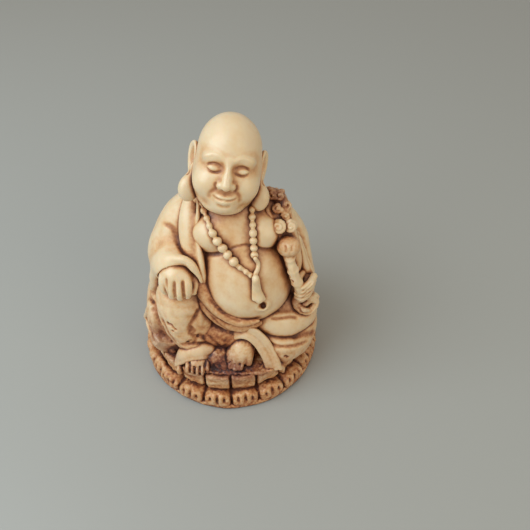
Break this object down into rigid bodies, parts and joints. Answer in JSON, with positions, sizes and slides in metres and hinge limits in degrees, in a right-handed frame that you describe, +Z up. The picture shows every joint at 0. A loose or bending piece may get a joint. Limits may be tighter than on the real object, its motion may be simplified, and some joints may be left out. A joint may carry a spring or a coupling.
{
  "type": "buddha statuette",
  "caption": "Seated laughing monk statuette on a round lotus base, with an open robe, bead necklace and a cloud-scroll sceptre, ivory coloured with brown in the folds.",
  "frame": {"origin": "centre of the underside of the base, on the surface that it stands on", "axes": "+Z up, -Y the way the figure faces, +X the figure's left"},
  "size_m": [0.0796, 0.0796, 0.1179],
  "materials": {
    "ivory": "semi-gloss ivory resin with a brown wash in the hollows",
    "stained": "semi-gloss ivory resin under a heavy tan-brown wash"
  },
  "bodies": {
    "root": {"base_plate": "stained", "crest_scroll": "ivory", "front_hem": "stained", "head": "ivory", "left_bead_strand": "ivory", "left_ear": "ivory", "left_foot": "ivory", "left_hand": "ivory", "left_lapel": "ivory", "left_scroll": "ivory", "left_shin": "ivory", "left_sleeve": "ivory", "left_thigh": "ivory", "left_trouser_hem": "ivory", "lower_petals": "stained", "lower_waist_roll": "ivory", "necklace_link": "ivory", "right_bead_strand": "ivory", "right_ear": "ivory", "right_foot": "ivory", "right_hand": "ivory", "right_lapel": "ivory", "right_scroll": "ivory", "right_shin": "ivory", "right_sleeve": "ivory", "right_thigh": "ivory", "right_trouser_hem": "ivory", "robe_back": "ivory", "sceptre_boss": "ivory", "sceptre_shaft": "ivory", "tail_scroll": "ivory", "tassel": "ivory", "torso": "ivory", "upper_petals": "stained", "upper_waist_roll": "ivory"}
  },
  "joints": []
}
